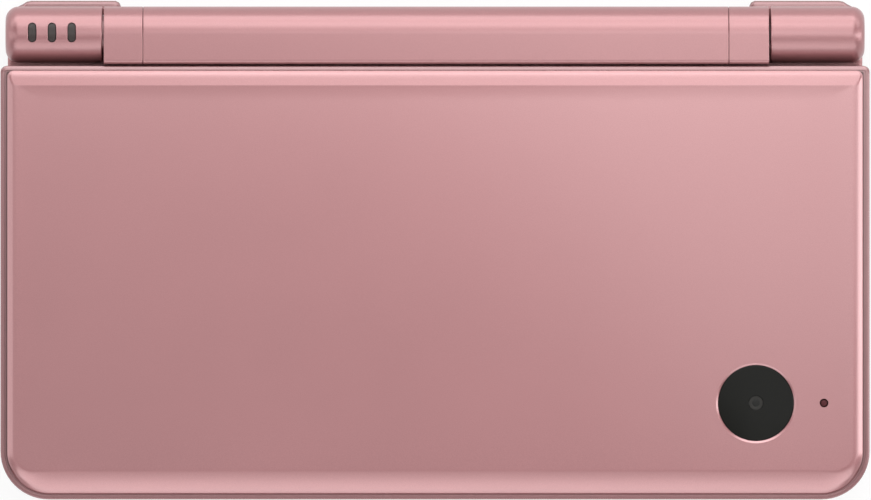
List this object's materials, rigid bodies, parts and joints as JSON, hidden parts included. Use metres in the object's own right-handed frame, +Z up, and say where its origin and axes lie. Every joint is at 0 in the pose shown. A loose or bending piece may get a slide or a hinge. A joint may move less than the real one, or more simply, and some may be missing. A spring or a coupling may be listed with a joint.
{
  "type": "clamshell handheld game console",
  "caption": "Closed clamshell handheld console: flat rounded lid on a cylindrical rear hinge over a thin base with screens, buttons, slots and a side stylus.",
  "frame": {"origin": "on the surface that the feet stand on, under the centre of the closed console's box", "axes": "+X to the right along the width, +Y to the rear where the hinge is, +Z up through the lid"},
  "size_m": [0.161, 0.0926, 0.0212],
  "materials": {
    "rose_metallic": "metallic rose paint on plastic, fine flake, semi-gloss",
    "rose_satin": "satin rose plastic with a fine grain",
    "rose_button": "polished rose plastic",
    "black_gloss": "clear panel over black, glossy",
    "display_frame": "display panel in a thin metal frame",
    "smoked_clear": "smoked translucent light window",
    "steel": "zinc-plated or drawn steel",
    "black_plastic": "black moulded plastic",
    "grey_rubber": "soft grey rubber",
    "board_green": "green solder mask",
    "battery_grey": "wrapped battery pack",
    "flex_amber": "amber flexible circuit"
  },
  "bodies": {
    "base": {"bottom_case": "rose_satin", "top_case": "rose_satin", "battery_cover": "rose_satin", "left_hinge_barrel": "rose_metallic", "right_hinge_barrel": "rose_metallic", "face_button_rubber": "grey_rubber", "rubber_foot_1": "grey_rubber", "rubber_foot_2": "grey_rubber", "rubber_foot_3": "grey_rubber", "rubber_foot_4": "grey_rubber", "case_screw_1": "steel", "case_screw_2": "steel", "case_screw_3": "steel", "case_screw_4": "steel", "battery_cover_screw_1": "steel", "battery_cover_screw_2": "steel", "battery_pack": "battery_grey", "main_board": "board_green", "touch_screen": "black_gloss", "lower_display_panel": "display_frame", "headphone_socket": "black_plastic", "charging_socket": "black_plastic", "status_light_pipe": "smoked_clear", "game_card_socket": "steel", "memory_card_socket": "steel", "hinge_click_unit": "steel"},
    "lid": {"lid_cover": "rose_metallic", "lid_frame": "rose_satin", "upper_screen_window": "black_gloss", "upper_display_panel": "display_frame", "outer_camera_window": "black_gloss", "outer_camera_module": "black_plastic", "camera_light_pipe": "smoked_clear", "lid_hinge_barrel": "rose_metallic", "left_hinge_collar": "rose_metallic", "right_hinge_collar": "rose_metallic", "inner_camera": "black_gloss", "microphone": "steel", "left_speaker": "black_plastic", "right_speaker": "black_plastic", "hinge_shaft": "steel", "display_cable": "flex_amber", "lid_bumper_1": "grey_rubber", "lid_bumper_2": "grey_rubber", "lid_bumper_3": "grey_rubber", "lid_bumper_4": "grey_rubber"},
    "direction_pad": {"direction_pad": "rose_button"},
    "direction_pad_rubber": {"direction_pad_rubber": "grey_rubber"},
    "face_button_front": {"face_button_front": "rose_button"},
    "face_button_right": {"face_button_right": "rose_button"},
    "face_button_rear": {"face_button_rear": "rose_button"},
    "face_button_left": {"face_button_left": "rose_button"},
    "start_button": {"start_button": "rose_button"},
    "select_button": {"select_button": "rose_button"},
    "power_button": {"power_button": "rose_button"},
    "left_shoulder_button": {"left_shoulder_button": "rose_satin"},
    "right_shoulder_button": {"right_shoulder_button": "rose_satin"},
    "volume_rocker": {"volume_rocker": "rose_button"},
    "memory_card_cover": {"memory_card_cover": "rose_satin"},
    "stylus": {"stylus": "rose_button"}
  },
  "joints": [
    {"name": "lid_hinge", "type": "hinge", "parent": "base", "child": "lid", "pos_m": [0, 0.0399, 0.0154], "axis": [-1, 0, 0], "range_deg": [0, 155]},
    {"name": "direction_pad_rock_front_rear", "type": "hinge", "parent": "base", "child": "direction_pad_rubber", "pos_m": [-0.06125, 0.004, 0.0079], "axis": [1, 0, 0], "range_deg": [-3.5, 3.5], "stiffness_Nm_per_rad": 0.1},
    {"name": "direction_pad_rock_left_right", "type": "hinge", "parent": "direction_pad_rubber", "child": "direction_pad", "pos_m": [-0.06125, 0.004, 0.0079], "axis": [0, 1, 0], "range_deg": [-3.5, 3.5], "stiffness_Nm_per_rad": 0.1},
    {"name": "face_button_front_press", "type": "slide", "parent": "base", "child": "face_button_front", "axis": [0, 0, -1], "range_m": [0, 0.0007], "stiffness_N_per_m": 400},
    {"name": "face_button_right_press", "type": "slide", "parent": "base", "child": "face_button_right", "axis": [0, 0, -1], "range_m": [0, 0.0007], "stiffness_N_per_m": 400},
    {"name": "face_button_rear_press", "type": "slide", "parent": "base", "child": "face_button_rear", "axis": [0, 0, -1], "range_m": [0, 0.0007], "stiffness_N_per_m": 400},
    {"name": "face_button_left_press", "type": "slide", "parent": "base", "child": "face_button_left", "axis": [0, 0, -1], "range_m": [0, 0.0007], "stiffness_N_per_m": 400},
    {"name": "start_button_press", "type": "slide", "parent": "base", "child": "start_button", "axis": [0, 0, -1], "range_m": [0, 0.0007], "stiffness_N_per_m": 400},
    {"name": "select_button_press", "type": "slide", "parent": "base", "child": "select_button", "axis": [0, 0, -1], "range_m": [0, 0.0007], "stiffness_N_per_m": 400},
    {"name": "power_button_press", "type": "slide", "parent": "base", "child": "power_button", "axis": [0, 0, -1], "range_m": [0, 0.0007], "stiffness_N_per_m": 400},
    {"name": "right_shoulder_button_press", "type": "hinge", "parent": "base", "child": "right_shoulder_button", "pos_m": [0.061, 0.04335, 0.0063], "axis": [0, 0, -1], "range_deg": [0, 4], "stiffness_Nm_per_rad": 0.2},
    {"name": "left_shoulder_button_press", "type": "hinge", "parent": "base", "child": "left_shoulder_button", "pos_m": [-0.061, 0.04335, 0.0063], "axis": [0, 0, 1], "range_deg": [0, 4], "stiffness_Nm_per_rad": 0.2},
    {"name": "volume_rocker_tilt", "type": "hinge", "parent": "base", "child": "volume_rocker", "pos_m": [-0.0795, 0.019, 0.0048], "axis": [0, 0, 1], "range_deg": [-3, 3], "stiffness_Nm_per_rad": 0.03},
    {"name": "memory_card_cover_hinge", "type": "hinge", "parent": "base", "child": "memory_card_cover", "pos_m": [0.0801, 0.0077, 0.0043], "axis": [0, 0, 1], "range_deg": [0, 100]},
    {"name": "stylus_slide", "type": "slide", "parent": "base", "child": "stylus", "axis": [1, 0, 0], "range_m": [0, 0.092]}
  ]
}
